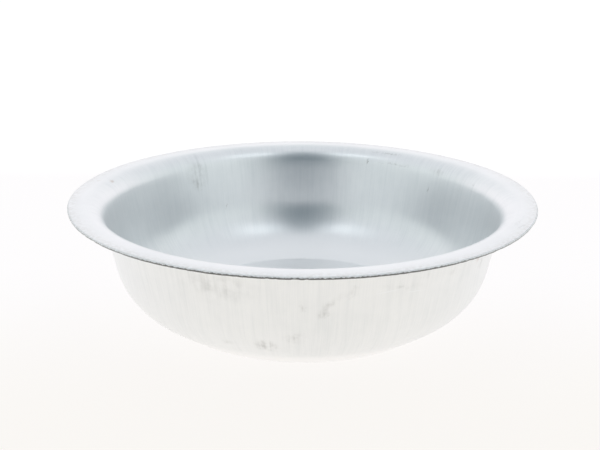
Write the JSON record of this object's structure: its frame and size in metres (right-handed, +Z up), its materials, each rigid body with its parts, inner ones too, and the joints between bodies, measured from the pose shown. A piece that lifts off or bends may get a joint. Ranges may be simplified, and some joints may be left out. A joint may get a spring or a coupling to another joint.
{
  "type": "oil drain pan",
  "caption": "Round one-piece sheet-steel basin with a flat rim, rounded shoulder, leaning wall, sloping floor and flat base, for catching drained engine oil.",
  "frame": {"origin": "centre of the underside of the flat base", "axes": "+Z up through the mouth, along the pan's axis; +X and +Y are alike, since the pan is round"},
  "size_m": [0.4059, 0.406, 0.106],
  "materials": {
    "galvanised_steel": "satin"
  },
  "bodies": {
    "root": {"basin": "galvanised_steel"}
  },
  "joints": []
}
